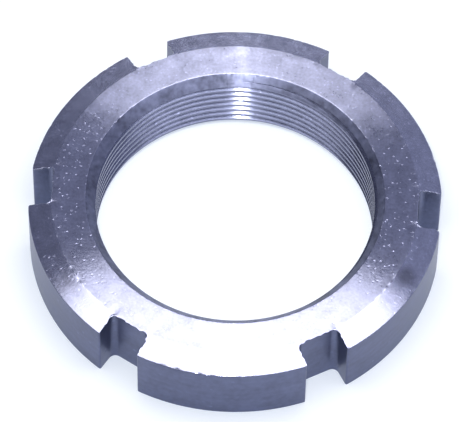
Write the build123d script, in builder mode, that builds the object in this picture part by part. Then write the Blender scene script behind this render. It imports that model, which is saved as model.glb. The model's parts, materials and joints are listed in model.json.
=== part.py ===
"""Slotted round lock nut with six rim slots, turned and milled from one steel blank.

The nut lies on its bearing face, with its thread axis along +Z and the origin at the middle of
that face. The wide chamfered face is on top. The bore is plain, at the thread's minor diameter.
"""

import os

from build123d import *

# Sizes in millimetres.
outer_diameter = 75.0
height = 13.5

# Thread M52 x 1.5: its minor diameter may be 50.38 to 50.68, and the bore is near the upper limit.
minor_diameter = 50.65

# Turned faces and edges. Both countersinks slope at 45 degrees.
face_diameter = 66.5
rim_chamfer_height = 1.3
front_countersink = 1.8
back_countersink = 1.1
back_edge_break = 0.2

# Spanner slots milled across the rim, with the first one on +X.
slot_count = 6
slot_width = 8.0
slot_depth = 4.4
slot_corner_radius = 1.2

outer_radius = outer_diameter / 2
bore_radius = minor_diameter / 2
slot_floor_radius = outer_radius - slot_depth

# The cutter runs past the rim and past both faces, so that it leaves no skin.
cutter_overrun = 2.0

with BuildPart() as slotted_nut:
    # The turned ring: half of its section, drawn from the bore round to the bore again.
    with BuildSketch(Plane.XZ):
        with BuildLine():
            Polyline(
                (bore_radius, back_countersink),
                (bore_radius + back_countersink, 0),
                (outer_radius - back_edge_break, 0),
                (outer_radius, back_edge_break),
                (outer_radius, height - rim_chamfer_height),
                (face_diameter / 2, height),
                (bore_radius + front_countersink, height),
                (bore_radius, height - front_countersink),
                close=True,
            )
        make_face()
    revolve(axis=Axis.Z)

    # The spanner slots: open at the rim, with a flat floor that has rounded corners.
    with BuildSketch(Plane.XY.offset(-cutter_overrun)) as slots:
        with PolarLocations(slot_floor_radius, slot_count):
            Rectangle(
                slot_depth + cutter_overrun, slot_width, align=(Align.MIN, Align.CENTER)
            )
        floor_corners = slots.vertices().group_by(SortBy.DISTANCE)[0]
        fillet(floor_corners, slot_corner_radius)
    extrude(amount=height + 2 * cutter_overrun, mode=Mode.SUBTRACT)

slotted_nut.part.label = "slotted_nut"

os.makedirs("parts", exist_ok=True)
export_step(slotted_nut.part, "parts/slotted_nut.step")
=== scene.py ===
"""Looks of a slotted round lock nut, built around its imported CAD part."""

import json
import math

import bmesh
import bpy
from mathutils import Matrix, Vector, noise


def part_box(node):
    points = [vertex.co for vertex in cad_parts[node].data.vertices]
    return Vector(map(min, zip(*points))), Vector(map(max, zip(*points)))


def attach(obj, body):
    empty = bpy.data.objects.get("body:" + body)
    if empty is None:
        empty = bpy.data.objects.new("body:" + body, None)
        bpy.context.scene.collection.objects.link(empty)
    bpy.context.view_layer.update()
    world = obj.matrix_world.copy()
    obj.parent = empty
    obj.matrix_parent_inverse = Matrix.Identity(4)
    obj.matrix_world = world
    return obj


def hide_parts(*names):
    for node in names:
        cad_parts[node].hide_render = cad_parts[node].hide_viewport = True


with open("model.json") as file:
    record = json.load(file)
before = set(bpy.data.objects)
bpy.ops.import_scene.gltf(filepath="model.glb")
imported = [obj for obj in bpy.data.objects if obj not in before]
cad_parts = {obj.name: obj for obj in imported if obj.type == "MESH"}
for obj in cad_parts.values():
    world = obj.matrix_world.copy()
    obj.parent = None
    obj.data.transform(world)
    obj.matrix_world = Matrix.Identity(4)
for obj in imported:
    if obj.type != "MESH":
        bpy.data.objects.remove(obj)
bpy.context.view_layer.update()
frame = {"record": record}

bl_info = {
    "name": "Slotted Round Nut",
    "version": (1, 0, 0),
    "blender": (4, 5, 0),
    "location": "View3D > Sidebar > Nut",
    "description": "Models a slotted round lock nut with a real thread, and sets it on a studio floor",
    "category": "Add Mesh",
}

NODE = "slotted_nut"
NODE_LOW, NODE_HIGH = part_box(NODE)
THREAD_MOUNT = next(m for m in frame["record"]["mounts"] if m["name"] == "thread")
FINISHES = ("turned_face", "turned_chamfer", "turned_rim", "milled_slot", "cut_thread", "cut_edge")
MM = 0.001
TURN = 2 * math.pi


# ---------------------------------------------------------------- settings


class NutSizes(bpy.types.PropertyGroup):
    """Sizes of the nut, in metres. They repeat the CAD part's own."""

    rim_radius: bpy.props.FloatProperty(
        name="Rim radius", description="Outside of the teeth",
        default=NODE_HIGH.y, unit="LENGTH", precision=5,
    )
    height: bpy.props.FloatProperty(
        name="Height", description="From the bearing face to the chamfered face",
        default=NODE_HIGH.z, unit="LENGTH", precision=5,
    )
    face_radius: bpy.props.FloatProperty(
        name="Face radius", description="Where the flat face meets the rim chamfer",
        default=33.25 * MM, unit="LENGTH", precision=5,
    )
    chamfer_height: bpy.props.FloatProperty(
        name="Chamfer height", description="Fall of the rim chamfer",
        default=1.3 * MM, unit="LENGTH", precision=5,
    )
    minor_radius: bpy.props.FloatProperty(
        name="Minor radius", description="Crests of the internal thread",
        default=THREAD_MOUNT["dims"]["r_mm"] * MM, unit="LENGTH", precision=5,
    )
    major_radius: bpy.props.FloatProperty(
        name="Major radius", description="Roots of the internal thread",
        default=26.05 * MM, unit="LENGTH", precision=5,
    )
    pitch: bpy.props.FloatProperty(
        name="Pitch", description="Rise of the thread in one turn",
        default=1.5 * MM, unit="LENGTH", precision=5,
    )
    front_countersink: bpy.props.FloatProperty(
        name="Front countersink", description="Depth of the 45 degree countersink on top",
        default=1.8 * MM, unit="LENGTH", precision=5,
    )
    back_countersink: bpy.props.FloatProperty(
        name="Back countersink", description="Depth of the 45 degree countersink below",
        default=1.1 * MM, unit="LENGTH", precision=5,
    )
    slot_width: bpy.props.FloatProperty(
        name="Slot width", description="Between the walls of a spanner slot",
        default=8.0 * MM, unit="LENGTH", precision=5,
    )
    slot_depth: bpy.props.FloatProperty(
        name="Slot depth", description="From the rim to the slot's floor",
        default=4.4 * MM, unit="LENGTH", precision=5,
    )
    slot_corner: bpy.props.FloatProperty(
        name="Slot corner", description="Radius between a slot's floor and its walls",
        default=1.2 * MM, unit="LENGTH", precision=5,
    )
    tooth_corner: bpy.props.FloatProperty(
        name="Tooth corner", description="Rounding of the teeth's upright outer corners",
        default=0.3 * MM, unit="LENGTH", precision=5,
    )
    slot_count: bpy.props.IntProperty(
        name="Slots", description="Spanner slots round the rim", default=6, min=3,
    )
    edge_radius: bpy.props.FloatProperty(
        name="Edge radius", description="Rounding of the turned and milled edges",
        default=0.09 * MM, unit="LENGTH", precision=5,
    )
    columns: bpy.props.IntProperty(
        name="Columns", description="Mesh columns round the nut before smoothing",
        default=132, min=72,
    )


class NutWear(bpy.types.PropertyGroup):
    """Burrs, nicks and marks of the used nut."""

    bead: bpy.props.FloatProperty(
        name="Dips", description="Depth of the shallow dips along the flat face's two edges",
        default=0.10 * MM, unit="LENGTH", precision=5,
    )
    nick: bpy.props.FloatProperty(
        name="Nicks", description="Depth of the dents in the rim's top edge",
        default=0.5 * MM, unit="LENGTH", precision=5,
    )
    burr: bpy.props.FloatProperty(
        name="Burrs", description="Overhang of the burrs at the slots' top edges",
        default=0.5 * MM, unit="LENGTH", precision=5,
    )
    reach: bpy.props.FloatProperty(
        name="Reach", description="How far from an edge its wear goes",
        default=0.35 * MM, unit="LENGTH", precision=5,
    )
    smudge: bpy.props.FloatVectorProperty(
        name="Smudge", description="Middle of the dark smudge on the rim chamfer", subtype="XYZ",
        default=(31.6 * MM, -14.6 * MM, 12.9 * MM), unit="LENGTH", precision=5,
    )


class NutColours(bpy.types.PropertyGroup):
    """Colours of the steel and of the studio."""

    steel: bpy.props.FloatVectorProperty(
        name="Turned steel", description="Freshly turned faces", subtype="COLOR",
        default=(0.50, 0.51, 0.68), min=0, max=1,
    )
    # Painted shade in part: a darker copy of the turned steel that stands for the shade and dark
    # reflections on the rim's walls and in the slots, as well as for their duller finish.
    skin: bpy.props.FloatVectorProperty(
        name="Dull steel", description="Rim and milled slots", subtype="COLOR",
        default=(0.12, 0.135, 0.225), min=0, max=1,
    )
    # Painted shade in part: a darker copy of the turned steel that stands for the shade in the bore and
    # on the countersinks, as well as for their cut finish.
    cut: bpy.props.FloatVectorProperty(
        name="Cut steel", description="Thread and countersinks", subtype="COLOR",
        default=(0.20, 0.215, 0.32), min=0, max=1,
    )
    room: bpy.props.FloatVectorProperty(
        name="Room", description="The dim studio above the floor", subtype="COLOR",
        default=(0.24, 0.26, 0.35), min=0, max=1,
    )
    floor: bpy.props.FloatVectorProperty(
        name="Floor", description="Paper under the nut", subtype="COLOR",
        default=(0.62, 0.60, 0.55), min=0, max=1,
    )
    glow: bpy.props.FloatVectorProperty(
        name="Glow", description="What the paper adds by itself to look white", subtype="COLOR",
        default=(0.38, 0.44, 0.54), min=0, max=1,
    )


# ---------------------------------------------------------------- mesh tools


def deselect_everything():
    if bpy.context.mode != "OBJECT":
        bpy.ops.object.mode_set(mode="OBJECT")
    bpy.ops.object.select_all(action="DESELECT")


def edit(piece, domain="FACE"):
    """Opens one piece alone in edit mode, with nothing selected, and returns its BMesh."""
    deselect_everything()
    piece.select_set(True)
    bpy.context.view_layer.objects.active = piece
    bpy.ops.object.mode_set(mode="EDIT")
    bpy.ops.mesh.select_mode(type=domain)
    bpy.ops.mesh.select_all(action="DESELECT")
    return bmesh.from_edit_mesh(piece.data)


def close_edit(piece):
    bmesh.update_edit_mesh(piece.data)
    bpy.ops.object.mode_set(mode="OBJECT")


def select(piece, elements):
    """Selects these faces, edges or vertices of the open piece, and nothing else."""
    bpy.ops.mesh.select_all(action="DESELECT")
    for element in elements:
        element.select_set(True)
    bmesh.update_edit_mesh(piece.data)


def apply_modifier(piece, kind, **settings):
    """Adds a modifier with these settings and applies it."""
    deselect_everything()
    piece.select_set(True)
    bpy.context.view_layer.objects.active = piece
    modifier = piece.modifiers.new(kind.title(), kind)
    for name, value in settings.items():
        setattr(modifier, name, value)
    bpy.ops.object.modifier_apply(modifier=modifier.name)


def radius_of(point):
    return math.hypot(point.x, point.y)


def slot_frame(point, count):
    """The nearest slot's angle, and the point along and across that slot."""
    step = TURN / count
    angle = round(math.atan2(point.y, point.x) / step) * step
    along = point.x * math.cos(angle) + point.y * math.sin(angle)
    across = point.y * math.cos(angle) - point.x * math.sin(angle)
    return angle, along, across


def from_slot_frame(angle, along, across, z):
    x = along * math.cos(angle) - across * math.sin(angle)
    y = along * math.sin(angle) + across * math.cos(angle)
    return Vector((x, y, z))


# ---------------------------------------------------------------- the nut


def lathe_section(piece, section):
    """Carries the open circle at section[0] through the other (radius, z) points and closes it."""
    edit(piece, "VERT")
    bpy.ops.mesh.select_all(action="SELECT")
    for (r0, z0), (r1, z1) in zip(section, section[1:]):
        bpy.ops.mesh.extrude_edges_move(TRANSFORM_OT_translate={"value": (0, 0, z1 - z0)})
        bpy.ops.transform.resize(value=(r1 / r0, r1 / r0, 1))
    bpy.ops.mesh.select_all(action="SELECT")
    bpy.ops.mesh.remove_doubles(threshold=0.001 * MM)
    bpy.ops.mesh.normals_make_consistent(inside=False)
    close_edit(piece)


def turned_core(sizes):
    """The ring inside the flat face's edge: what is left between the slots."""
    bpy.ops.mesh.primitive_circle_add(
        vertices=sizes.columns, radius=sizes.face_radius, location=(0, 0, 0)
    )
    piece = bpy.context.active_object
    piece.name = NODE + "_body"
    core_bore = sizes.minor_radius - 0.6 * MM
    top = sizes.height
    lathe_section(
        piece,
        [
            (sizes.face_radius, 0),
            (sizes.face_radius, top),
            (sizes.minor_radius + sizes.front_countersink, top),
            (core_bore, top - sizes.front_countersink - 0.6 * MM),
            (core_bore, sizes.back_countersink + 0.6 * MM),
            (sizes.minor_radius + sizes.back_countersink, 0),
            (sizes.face_radius, 0),
        ],
    )
    return piece


def extrude_teeth(piece, sizes):
    """Pulls the teeth out of the core, leaving the slots, and lowers their top edge to the chamfer."""
    mesh = edit(piece)
    half_slot = math.asin(sizes.slot_width / 2 / sizes.face_radius)
    step = TURN / sizes.slot_count

    def off_slot(face):
        centre = face.calc_center_median()
        angle = math.atan2(centre.y, centre.x) % step
        return min(angle, step - angle)

    select(piece, [
        f for f in mesh.faces
        if abs(f.normal.z) < 0.1 and radius_of(f.calc_center_median()) > sizes.face_radius * 0.99
        and off_slot(f) > half_slot
    ])
    steps = 3
    reach = sizes.rim_radius - sizes.face_radius
    for step_index in range(steps):
        bpy.ops.mesh.extrude_region_move(TRANSFORM_OT_translate={"value": (0, 0, 0)})
        inner = sizes.face_radius + reach * step_index / steps
        grow = (inner + reach / steps) / inner
        bpy.ops.transform.resize(value=(grow, grow, 1))
    mesh = bmesh.from_edit_mesh(piece.data)
    for v in mesh.verts:
        beyond = radius_of(v.co) - sizes.face_radius
        if beyond > reach / steps / 2 and v.co.z > sizes.height / 2:
            v.co.z -= sizes.chamfer_height * beyond / reach
    close_edit(piece)


def square_the_slots(piece, sizes):
    """Makes the slots' walls parallel and their floors flat, and spreads the columns evenly."""
    mesh = edit(piece, "VERT")
    half = sizes.slot_width / 2
    floor = sizes.rim_radius - sizes.slot_depth
    step = TURN / sizes.slot_count
    pull = TURN / sizes.columns
    wall_column = math.ceil(math.asin(half / sizes.face_radius) / pull - 1e-6) * pull
    for v in mesh.verts:
        r = radius_of(v.co)
        if r < sizes.face_radius * 0.99:
            continue
        angle = math.atan2(v.co.y, v.co.x)
        middle = round(angle / step) * step
        off = abs(angle - middle)
        side = math.copysign(1, angle - middle)
        wall = math.asin(half / r)
        if off < wall_column + pull / 4:
            new = off / wall_column * wall
        else:
            new = wall + (off - wall_column) * (step / 2 - wall) / (step / 2 - wall_column)
        if r < sizes.face_radius * 1.01 and off < wall_column + pull / 4:
            across = half * off / wall_column * side
            v.co = from_slot_frame(middle, floor, across, v.co.z)
        else:
            angle = middle + side * new
            v.co = Vector((r * math.cos(angle), r * math.sin(angle), v.co.z))
    close_edit(piece)


def fillet_the_slots(piece, sizes):
    """Rounds the upright corners of the slots' floors, as the end mill leaves them, and of the teeth."""
    floor = sizes.rim_radius - sizes.slot_depth
    half = sizes.slot_width / 2
    near = 0.02 * MM

    def at_floor(v):
        return abs(slot_frame(v.co, sizes.slot_count)[1] - floor) < near

    def at_rim(v):
        return abs(radius_of(v.co) - sizes.rim_radius) < near

    def on_wall(v):
        return abs(abs(slot_frame(v.co, sizes.slot_count)[2]) - half) < near

    corners = (
        (at_floor, sizes.slot_corner, 5),
        (at_rim, sizes.tooth_corner, 2),
    )
    for at_corner, radius, segments in corners:
        mesh = edit(piece, "EDGE")
        select(piece, [
            e for e in mesh.edges
            if abs(e.verts[0].co.z - e.verts[1].co.z) > MM
            and all(at_corner(v) and on_wall(v) for v in e.verts)
        ])
        bpy.ops.mesh.bevel(offset=radius, segments=segments, clamp_overlap=False)
        close_edit(piece)


def is_crisp(edge):
    """True for a turned or milled edge, and false for the steps of a fillet or of a round wall."""
    if len(edge.link_faces) != 2:
        return False
    angle = edge.calc_face_angle(0)
    upright = abs(edge.verts[0].co.z - edge.verts[1].co.z) > 0.95 * edge.calc_length()
    return angle > math.radians(50 if upright else 12)


def soften_edges(piece, sizes):
    """Gives every crisp edge a narrow rounded strip, then smooths the whole cage.

    A loop just inside each face keeps the smoothing in the strips, so the faces stay true.
    """
    mesh = edit(piece, "EDGE")
    run_out = sizes.slot_width / 2 + 0.5 * MM

    def fades_out(e):
        """The shallow edge between face and chamfer is left to the smoothing where a slot ends it."""
        beside = min(abs(slot_frame(v.co, sizes.slot_count)[2]) for v in e.verts)
        return beside < run_out and e.calc_face_angle(0) < math.radians(30)

    select(piece, [e for e in mesh.edges if is_crisp(e) and not fades_out(e)])
    bpy.ops.mesh.bevel(offset=sizes.edge_radius, segments=2, clamp_overlap=True)
    bpy.ops.mesh.select_mode(type="FACE")
    bpy.ops.mesh.select_all(action="INVERT")
    bpy.ops.mesh.inset(thickness=sizes.edge_radius, use_boundary=True, use_even_offset=True)
    close_edit(piece)
    apply_modifier(piece, "SUBSURF", levels=2, render_levels=2)


def ripple(point, wavelength):
    """Smooth noise from -1 to 1 that is the same on every run."""
    return noise.noise(point / wavelength)


def wear_the_rims(piece, sizes, wear):
    """Sinks shallow dips into the flat face's two edges, and deeper dents into patches of the rim's.

    A ring is its radius, height, depth, wavelength and quiet share. A ring that has a quiet share
    is worn only in patches, and the others all round.
    """
    top = sizes.height
    shoulder = top - sizes.chamfer_height
    patch = 14 * MM
    up = Vector((0, 0, 0.7))
    rings = (
        (sizes.minor_radius + sizes.front_countersink, top, wear.bead, 0.5 * MM, 0.0),
        (sizes.face_radius, top, wear.bead, 0.7 * MM, 0.0),
        (sizes.rim_radius, shoulder, wear.nick, 0.9 * MM, 0.05),
    )
    for v in piece.data.vertices:
        r = radius_of(v.co)
        outward = Vector((v.co.x, v.co.y, 0)) / r
        for radius, z, depth, wavelength, quiet in rings:
            away = math.hypot(r - radius, v.co.z - z)
            if away > wear.reach:
                continue
            bite = max(0.0, ripple(outward * radius, wavelength) - quiet) * depth
            if quiet:
                bite *= max(0.0, min(1.0, 3 * ripple(outward * radius, patch)))
            fade = 1 - away / wear.reach
            # The edge of the countersink wears outward, and the other two wear inward.
            side = math.copysign(0.5, radius - sizes.face_radius + 1e-6)
            v.co -= (outward * side + up) * bite * fade


def raise_slot_burrs(piece, sizes, wear):
    """Pushes ragged lips of metal over the slots' top edges, where the cutter left the steel."""
    half = sizes.slot_width / 2
    floor = sizes.rim_radius - sizes.slot_depth
    slope = sizes.chamfer_height / (sizes.rim_radius - sizes.face_radius)
    for v in piece.data.vertices:
        angle, along, across = slot_frame(v.co, sizes.slot_count)
        if along < floor - wear.reach or abs(across) > half + wear.reach:
            continue
        below = sizes.height - max(0.0, radius_of(v.co) - sizes.face_radius) * slope - v.co.z
        if below > wear.reach:
            continue
        to_floor, to_wall = abs(along - floor), abs(half - abs(across))
        lip = max(0.0, ripple(v.co, 0.8 * MM) + 0.1) * wear.burr * (1 - below / wear.reach)
        if to_wall < to_floor and along > floor:
            fade = max(0.0, 1 - to_wall / wear.reach)
            v.co = from_slot_frame(angle, along, across - math.copysign(lip * fade, across), v.co.z)
        elif to_floor < wear.reach:
            v.co = from_slot_frame(angle, along + lip * (1 - to_floor / wear.reach), across, v.co.z)


def thread_tap(sizes):
    """A screw of the thread's form, longer than the nut is high, that cuts the bore."""
    turns = 13
    start = -2.6 * sizes.pitch
    flat = 0.34 * sizes.pitch
    flank = (sizes.major_radius - sizes.minor_radius) * math.tan(math.radians(30))
    root = sizes.pitch - flat - 2 * flank
    round_off = 0.03 * MM
    profile = [
        (sizes.minor_radius, 0),
        (sizes.minor_radius, flat),
        (sizes.major_radius - round_off, flat + flank),
        (sizes.major_radius, flat + flank + root * 0.3),
        (sizes.major_radius, flat + flank + root * 0.7),
        (sizes.major_radius - round_off, flat + flank + root),
        (sizes.minor_radius, sizes.pitch),
    ]
    bpy.ops.mesh.primitive_plane_add(size=sizes.pitch, location=(0, 0, 0))
    tap = bpy.context.active_object
    tap.name = "thread_tap"
    mesh = edit(tap, "VERT")
    select(tap, list(mesh.verts)[1:])
    bpy.ops.mesh.delete(type="VERT")
    mesh = bmesh.from_edit_mesh(tap.data)
    mesh.verts.ensure_lookup_table()
    mesh.verts[0].co = Vector((profile[0][0], 0, start + profile[0][1]))
    select(tap, mesh.verts)
    for (r0, z0), (r1, z1) in zip(profile, profile[1:]):
        bpy.ops.mesh.extrude_vertices_move(TRANSFORM_OT_translate={"value": (r1 - r0, 0, z1 - z0)})
    close_edit(tap)
    apply_modifier(
        tap, "SCREW", angle=TURN, screw_offset=sizes.pitch, iterations=turns,
        steps=288, render_steps=288, use_merge_vertices=False,
    )
    mesh = edit(tap)
    bpy.ops.mesh.select_all(action="SELECT")
    bpy.ops.mesh.remove_doubles(threshold=0.002 * MM)
    for cut, up in ((-1.2 * MM, False), (sizes.height + 1.2 * MM, True)):
        bpy.ops.mesh.select_all(action="SELECT")
        bpy.ops.mesh.bisect(
            plane_co=(0, 0, cut), plane_no=(0, 0, 1), use_fill=True,
            clear_outer=up, clear_inner=not up,
        )
    bpy.ops.mesh.select_all(action="SELECT")
    bpy.ops.mesh.normals_make_consistent(inside=False)
    close_edit(tap)
    return tap


def cut_thread(piece, sizes):
    tap = thread_tap(sizes)
    for face in tap.data.polygons:
        face.material_index = FINISHES.index("cut_thread")
    apply_modifier(piece, "BOOLEAN", operation="DIFFERENCE", object=tap, solver="EXACT")
    bpy.data.objects.remove(tap)


def paint_zones(piece, sizes):
    """Gives each face the finish of the tool that cut it."""
    for name in FINISHES:
        piece.data.materials.append(bpy.data.materials[name])
    floor = sizes.rim_radius - sizes.slot_depth
    edge = sizes.minor_radius + sizes.front_countersink
    for face in piece.data.polygons:
        # The countersinks, like the thread from the tap, take the darker cut steel colour, which is
        # partly painted shade.
        if radius_of(face.center) < edge and abs(face.normal.z) < 0.97:
            face.material_index = FINISHES.index("cut_edge")
        elif radius_of(face.center) > sizes.face_radius and face.normal.z > 0.6:
            face.material_index = FINISHES.index("turned_chamfer")
        # Upright faces of the slots and the rim take the darker dull steel colour, which is partly
        # painted shade.
        if abs(face.normal.z) > 0.6:
            continue
        _, along, across = slot_frame(face.center, sizes.slot_count)
        in_slot = abs(across) < sizes.slot_width / 2 + sizes.edge_radius and along > floor - 0.1 * MM
        if in_slot:
            face.material_index = FINISHES.index("milled_slot")
        elif radius_of(face.center) > floor:
            face.material_index = FINISHES.index("turned_rim")


# ---------------------------------------------------------------- materials


def add_node(tree, kind, inputs=None, **settings):
    """Adds a node, sets its properties, and sets or links its inputs."""
    node = tree.nodes.new(kind)
    for name, value in settings.items():
        setattr(node, name, value)
    for key, value in (inputs or {}).items():
        if isinstance(value, bpy.types.NodeSocket):
            tree.links.new(value, node.inputs[key])
        else:
            node.inputs[key].default_value = value
    return node


def maths(tree, operation, a, b=0.0):
    return add_node(tree, "ShaderNodeMath", {0: a, 1: b}, operation=operation).outputs[0]


def new_group(name, inputs, outputs):
    """An empty shader group with float inputs and outputs, and its two end nodes."""
    tree = bpy.data.node_groups.new(name, "ShaderNodeTree")
    for label, default in inputs.items():
        socket = tree.interface.new_socket(name=label, in_out="INPUT", socket_type="NodeSocketFloat")
        socket.default_value = default
    for label in outputs:
        tree.interface.new_socket(name=label, in_out="OUTPUT", socket_type="NodeSocketFloat")
    return tree, tree.nodes.new("NodeGroupInput"), tree.nodes.new("NodeGroupOutput")


def lathe_marks_group():
    """Fine rings round the axis, as a lathe tool leaves them on a face, a cone or a wall."""
    tree, given, result = new_group(
        "lathe_marks", {"Spacing": 0.0002, "Drift": 0.6}, ["Height", "Tone"]
    )
    place = add_node(tree, "ShaderNodeTexCoord").outputs["Object"]
    parts = add_node(tree, "ShaderNodeSeparateXYZ", {0: place}).outputs
    flat = add_node(tree, "ShaderNodeCombineXYZ", {0: parts[0], 1: parts[1]}).outputs[0]
    radius = add_node(tree, "ShaderNodeVectorMath", {0: flat}, operation="LENGTH").outputs["Value"]
    heading = add_node(tree, "ShaderNodeVectorMath", {0: flat}, operation="NORMALIZE").outputs[0]
    heads = add_node(tree, "ShaderNodeSeparateXYZ", {0: heading}).outputs
    across = maths(tree, "DIVIDE", maths(tree, "ADD", radius, parts[2]), given.outputs["Spacing"])
    rings = add_node(tree, "ShaderNodeCombineXYZ", {
        0: across,
        1: maths(tree, "MULTIPLY", heads[0], given.outputs["Drift"]),
        2: maths(tree, "MULTIPLY", heads[1], given.outputs["Drift"]),
    }).outputs[0]
    fine = add_node(tree, "ShaderNodeTexNoise", {"Vector": rings, "Scale": 1.0, "Detail": 3.0})
    broad = add_node(tree, "ShaderNodeTexNoise", {"Vector": rings, "Scale": 0.13, "Detail": 2.0})
    tree.links.new(fine.outputs["Fac"], result.inputs["Height"])
    tree.links.new(broad.outputs["Fac"], result.inputs["Tone"])
    return tree


def pits_group():
    """Small round pits, strewn at random and gathered in loose patches."""
    tree, given, result = new_group("pits", {"Spacing": 0.0011, "Amount": 0.4}, ["Mask"])
    place = add_node(tree, "ShaderNodeTexCoord").outputs["Object"]
    scale = maths(tree, "DIVIDE", 1.0, given.outputs["Spacing"])
    swirl = add_node(
        tree, "ShaderNodeTexNoise", {"Vector": place, "Scale": maths(tree, "MULTIPLY", scale, 2.5)}
    ).outputs["Color"]
    push = add_node(
        tree, "ShaderNodeVectorMath", {0: swirl, "Scale": 0.6 * MM}, operation="SCALE"
    ).outputs[0]
    ragged = add_node(tree, "ShaderNodeVectorMath", {0: place, 1: push}, operation="ADD").outputs[0]
    cells = add_node(tree, "ShaderNodeTexVoronoi", {"Vector": ragged, "Scale": scale}).outputs
    chance = add_node(tree, "ShaderNodeSeparateXYZ", {0: cells["Color"]}).outputs[0]
    patch_scale = maths(tree, "MULTIPLY", scale, 0.16)
    patches = add_node(
        tree, "ShaderNodeTexNoise", {"Vector": place, "Scale": patch_scale}
    ).outputs["Fac"]
    level = maths(tree, "ADD", chance, maths(tree, "MULTIPLY", patches, 1.6))
    level = maths(tree, "ADD", level, given.outputs["Amount"])
    kept = add_node(tree, "ShaderNodeMapRange", {
        "Value": level, "From Min": 1.8, "From Max": 1.85,
    }).outputs[0]
    dot = add_node(tree, "ShaderNodeMapRange", {
        "Value": cells["Distance"], "From Min": 0.30, "From Max": 0.08,
    }).outputs[0]
    tree.links.new(maths(tree, "MULTIPLY", kept, dot), result.inputs["Mask"])
    return tree


def mottle_group():
    """Uneven tone from handling and old oil: a fine grain on soft clouds."""
    tree, given, result = new_group("mottle", {"Size": 0.0006}, ["Tone"])
    place = add_node(tree, "ShaderNodeTexCoord").outputs["Object"]
    scale = maths(tree, "DIVIDE", 1.0, given.outputs["Size"])
    grain = add_node(tree, "ShaderNodeTexNoise", {"Vector": place, "Scale": scale, "Detail": 3.0})
    cloud_scale = maths(tree, "MULTIPLY", scale, 0.2)
    clouds = add_node(tree, "ShaderNodeTexNoise", {"Vector": place, "Scale": cloud_scale, "Detail": 2.0})
    both = maths(tree, "ADD", grain.outputs["Fac"], clouds.outputs["Fac"])
    tone = add_node(tree, "ShaderNodeMapRange", {
        "Value": both, "From Min": 0.7, "From Max": 1.3,
    }).outputs[0]
    tree.links.new(tone, result.inputs["Tone"])
    return tree


def mix_colour(tree, factor, a, b, blend="MIX"):
    node = add_node(tree, "ShaderNodeMix", data_type="RGBA", blend_type=blend)
    for socket, value in ((node.inputs[0], factor), (node.inputs[6], a), (node.inputs[7], b)):
        if isinstance(value, bpy.types.NodeSocket):
            tree.links.new(value, socket)
        else:
            socket.default_value = value
    return node.outputs[2]


def rgba(colour, gain=1.0):
    return (colour[0] * gain, colour[1] * gain, colour[2] * gain, 1.0)


def across_the_marks(tree):
    """The direction along the surface and square to the lathe marks, which the gloss spreads in."""
    place = add_node(tree, "ShaderNodeTexCoord")
    axis = (0.0, 0.0, 1.0)
    around = add_node(
        tree, "ShaderNodeVectorMath", {0: axis, 1: place.outputs["Object"]}, operation="CROSS_PRODUCT"
    ).outputs[0]
    across = add_node(
        tree, "ShaderNodeVectorMath", {0: place.outputs["Normal"], 1: around}, operation="CROSS_PRODUCT"
    ).outputs[0]
    return add_node(tree, "ShaderNodeVectorMath", {0: across}, operation="NORMALIZE").outputs[0]


def metal(name, colour, roughness, anisotropy, marks, mottle, pits, smudge=None):
    """A steel finish of lathe marks (spacing, depth), mottle (size, contrast, depth) and pits (spacing,
    amount, depth), with a dark smudge at one place if that is given."""
    material = bpy.data.materials.new(name)
    material.use_nodes = True
    tree = material.node_tree
    surface = tree.nodes["Principled BSDF"]

    def group(label, **inputs):
        node = add_node(tree, "ShaderNodeGroup", node_tree=bpy.data.node_groups[label])
        for key, value in inputs.items():
            node.inputs[key].default_value = value
        return node.outputs

    rings = group("lathe_marks", Spacing=marks[0])
    holes = group("pits", Spacing=pits[0], Amount=pits[1])["Mask"]
    stain = group("mottle", Size=mottle[0])["Tone"]
    contrast = mottle[1]
    base = mix_colour(tree, stain, rgba(colour, 1 - contrast), rgba(colour, 1 + contrast))
    ringed = mix_colour(tree, rings["Tone"], rgba((0.85, 0.85, 0.85)), rgba((1.12, 1.12, 1.12)))
    base = mix_colour(tree, 1.0, base, ringed, "MULTIPLY")
    base = mix_colour(tree, holes, base, rgba(colour, 1.35))
    if smudge is not None:
        place = add_node(tree, "ShaderNodeTexCoord").outputs["Object"]
        away = add_node(
            tree, "ShaderNodeVectorMath", {0: place, 1: tuple(smudge)}, operation="DISTANCE"
        ).outputs["Value"]
        clean = add_node(tree, "ShaderNodeMapRange", {
            "Value": away, "From Min": 0.9 * MM, "From Max": 2.6 * MM, "To Min": 0.55,
        }).outputs[0]
        base = mix_colour(tree, clean, rgba((0, 0, 0)), base)
    tree.links.new(base, surface.inputs["Base Color"])
    uneven = maths(tree, "ADD", rings["Height"], stain)
    rough = add_node(tree, "ShaderNodeMapRange", {
        "Value": uneven, "From Max": 2.0, "To Min": roughness - 0.05, "To Max": roughness + 0.05,
    }).outputs[0]
    tree.links.new(rough, surface.inputs["Roughness"])
    surface.inputs["Metallic"].default_value = 1.0
    surface.inputs["Anisotropic"].default_value = anisotropy
    tree.links.new(across_the_marks(tree), surface.inputs["Tangent"])
    fine = add_node(tree, "ShaderNodeBump", {"Height": rings["Height"], "Distance": marks[1]}).outputs[0]
    worn = add_node(
        tree, "ShaderNodeBump", {"Height": stain, "Distance": mottle[2], "Normal": fine}
    ).outputs[0]
    deep = add_node(
        tree, "ShaderNodeBump", {"Height": holes, "Distance": pits[2], "Normal": worn}, invert=True
    ).outputs[0]
    tree.links.new(deep, surface.inputs["Normal"])
    return material


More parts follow.
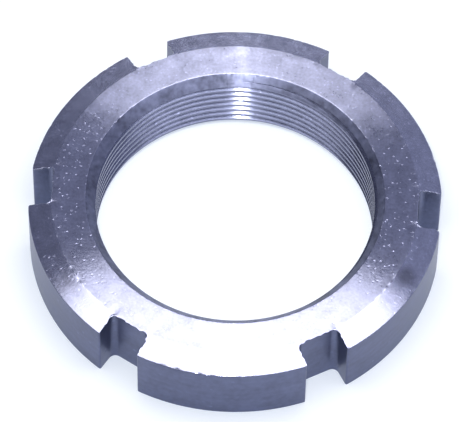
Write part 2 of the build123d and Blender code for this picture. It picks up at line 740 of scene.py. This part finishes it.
def make_finishes(colours, wear):
    """One finish for each tool that cut the nut, from shared marks, grain and pits."""
    lathe_marks_group()
    pits_group()
    mottle_group()
    ring_marks = (0.22 * MM, 0.003 * MM)
    grain = (0.5 * MM, 0.18, 0.006 * MM)
    dull = (1.0 * MM, 0.15, 0.004 * MM)
    fresh = (0.6 * MM, 0.12, 0.002 * MM)
    few = (1.3 * MM, 0.1, 0.015 * MM)
    smooth = (0.5 * MM, 0.12, 0.003 * MM)
    blotchy = (1.2 * MM, 0.4, 0.03 * MM)
    many = (0.8 * MM, 0.5, 0.015 * MM)
    some = (0.8 * MM, 0.3, 0.01 * MM)
    metal("turned_face", colours.steel, 0.30, 1.0, ring_marks, grain, many)
    metal("turned_chamfer", colours.steel, 0.24, 1.0, ring_marks, smooth, some, wear.smudge)
    # The rim and the slots take the darker dull steel colour, which is partly painted shade and partly
    # their duller finish.
    metal("turned_rim", colours.skin, 0.35, 0.5, (0.2 * MM, 0.002 * MM), dull, few)
    metal("milled_slot", colours.skin, 0.38, 0.0, (0.5 * MM, 0.004 * MM), dull, few)
    # The thread and the countersinks take the darker cut steel colour, which is partly painted shade and
    # partly their cut finish.
    metal("cut_thread", colours.cut, 0.24, 0.9, (0.15 * MM, 0.001 * MM), fresh, few)
    metal("cut_edge", colours.cut, 0.36, 0.85, (0.3 * MM, 0.001 * MM), blotchy, few)


# ---------------------------------------------------------------- stage


def paper_material(colour, glow):
    """Pale paper that looks white to the eye and in the steel, and still takes the nut's shadow."""
    material = bpy.data.materials.new("paper")
    material.use_nodes = True
    tree = material.node_tree
    surface = tree.nodes["Principled BSDF"]
    surface.inputs["Base Color"].default_value = rgba(colour)
    surface.inputs["Roughness"].default_value = 0.9
    path = add_node(tree, "ShaderNodeLightPath").outputs
    seen = maths(tree, "MAXIMUM", path["Is Camera Ray"], path["Is Glossy Ray"])
    seen = maths(tree, "MAXIMUM", seen, path["Is Transmission Ray"])
    surface.inputs["Emission Color"].default_value = rgba(glow)
    tree.links.new(seen, surface.inputs["Emission Strength"])
    return material


def aim(obj, target):
    obj.rotation_euler = (Vector(target) - obj.location).to_track_quat("-Z", "Y").to_euler()


def add_softbox(name, place, target, size, brightness):
    """An oval lamp that faces the target. A brightness of 1 looks white in a mirror."""
    bpy.ops.object.light_add(type="AREA", location=place)
    lamp = bpy.context.active_object
    lamp.name = name
    lamp.data.shape = "ELLIPSE"
    lamp.data.size, lamp.data.size_y = size
    lamp.data.energy = brightness * math.pi * math.pi * size[0] * size[1] / 4
    aim(lamp, target)
    return lamp


def add_camera():
    """A long lens that looks down on the nut, a little to the right of the slots' axis."""
    azimuth, elevation, roll = (math.radians(a) for a in (3.22, 56.56, 0.92))
    middle = Vector((0, 0, 6.825 * MM))
    distance, aside, above = 804.8 * MM, -0.71 * MM, 0.94 * MM
    back = Vector((
        math.sin(azimuth) * math.cos(elevation),
        -math.cos(azimuth) * math.cos(elevation),
        math.sin(elevation),
    ))
    level = Vector((math.cos(azimuth), math.sin(azimuth), 0))
    upright = back.cross(level)
    right = level * math.cos(roll) + upright * math.sin(roll)
    up = upright * math.cos(roll) - level * math.sin(roll)
    bpy.ops.object.camera_add()
    camera = bpy.context.active_object
    camera.matrix_world = Matrix((right, up, back)).transposed().to_4x4()
    camera.location = middle + back * distance + right * aside + up * above
    camera.data.sensor_width = 36.0
    camera.data.lens = 344.3
    camera.data.clip_start, camera.data.clip_end = 0.05, 10.0
    bpy.context.scene.camera = camera


def build_stage(colours):
    """The paper floor, the dim room with a white horizon, the two lamps and the camera."""
    bpy.context.scene.view_settings.view_transform = "Standard"
    bpy.ops.mesh.primitive_plane_add(size=3.0, location=(0, 0, 0))
    floor = bpy.context.active_object
    floor.name = "floor"
    floor.data.materials.append(paper_material(colours.floor, colours.glow))
    world = bpy.data.worlds.new("studio")
    bpy.context.scene.world = world
    world.use_nodes = True
    tree = world.node_tree
    way = add_node(tree, "ShaderNodeTexCoord").outputs["Generated"]
    aside, _, rise = add_node(tree, "ShaderNodeSeparateXYZ", {0: way}).outputs
    upward = add_node(tree, "ShaderNodeMapRange", {
        "Value": rise, "From Min": 0.0, "From Max": 0.15,
    }).outputs[0]
    rightward = add_node(tree, "ShaderNodeMapRange", {
        "Value": aside, "From Min": -0.6, "From Max": 0.6,
    }).outputs[0]
    room = mix_colour(tree, rightward, rgba(colours.room, 0.55), rgba(colours.room, 1.3))
    sky = mix_colour(tree, upward, (1.0, 1.0, 1.0, 1), room)
    tree.links.new(sky, tree.nodes["Background"].inputs["Color"])
    add_softbox("top_light", (0, 0, 0.16), (0, 0, 0), (0.204, 0.134), 4.0)
    add_softbox("lens_light", (0.006, -0.42, 0.66), (0, 0, 0), (0.05, 0.05), 270)
    add_camera()


def build_nut(sizes, wear):
    piece = turned_core(sizes)
    extrude_teeth(piece, sizes)
    square_the_slots(piece, sizes)
    fillet_the_slots(piece, sizes)
    soften_edges(piece, sizes)
    paint_zones(piece, sizes)
    wear_the_rims(piece, sizes, wear)
    raise_slot_burrs(piece, sizes, wear)
    cut_thread(piece, sizes)
    deselect_everything()
    piece.select_set(True)
    bpy.context.view_layer.objects.active = piece
    bpy.ops.object.shade_smooth_by_angle(angle=math.radians(32))
    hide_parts(NODE)
    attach(piece, "root")
    return piece


# ---------------------------------------------------------------- add-on


class NUT_OT_finishes(bpy.types.Operator):
    """Make the steel finishes"""

    bl_idname = "nut.finishes"
    bl_label = "Steel Finishes"

    def execute(self, context):
        make_finishes(context.scene.nut_colours, context.scene.nut_wear)
        return {"FINISHED"}


class NUT_OT_body(bpy.types.Operator):
    """Model the slotted nut and cut its thread"""

    bl_idname = "nut.body"
    bl_label = "Slotted Nut"

    def execute(self, context):
        build_nut(context.scene.nut_sizes, context.scene.nut_wear)
        return {"FINISHED"}


class NUT_OT_stage(bpy.types.Operator):
    """Set up the floor, the lights and the camera"""

    bl_idname = "nut.stage"
    bl_label = "Studio Stage"

    def execute(self, context):
        build_stage(context.scene.nut_colours)
        return {"FINISHED"}


class NUT_PT_panel(bpy.types.Panel):
    """Lists the nut's operators, sizes, wear and colours"""

    bl_idname = "NUT_PT_panel"
    bl_label = "Slotted Round Nut"
    bl_space_type = "VIEW_3D"
    bl_region_type = "UI"
    bl_category = "Nut"

    def draw(self, context):
        for operator in (NUT_OT_finishes, NUT_OT_body, NUT_OT_stage):
            self.layout.operator(operator.bl_idname)
        for group in (context.scene.nut_sizes, context.scene.nut_wear, context.scene.nut_colours):
            box = self.layout.box()
            for name in group.__annotations__:
                box.prop(group, name)


CLASSES = (NutSizes, NutWear, NutColours, NUT_OT_finishes, NUT_OT_body, NUT_OT_stage, NUT_PT_panel)


def register():
    for cls in CLASSES:
        bpy.utils.register_class(cls)
    bpy.types.Scene.nut_sizes = bpy.props.PointerProperty(type=NutSizes)
    bpy.types.Scene.nut_wear = bpy.props.PointerProperty(type=NutWear)
    bpy.types.Scene.nut_colours = bpy.props.PointerProperty(type=NutColours)


def unregister():
    del bpy.types.Scene.nut_colours
    del bpy.types.Scene.nut_wear
    del bpy.types.Scene.nut_sizes
    for cls in reversed(CLASSES):
        bpy.utils.unregister_class(cls)


def main():
    register()
    bpy.ops.nut.finishes()
    bpy.ops.nut.body()
    bpy.ops.nut.stage()


if __name__ == "__main__":
    main()
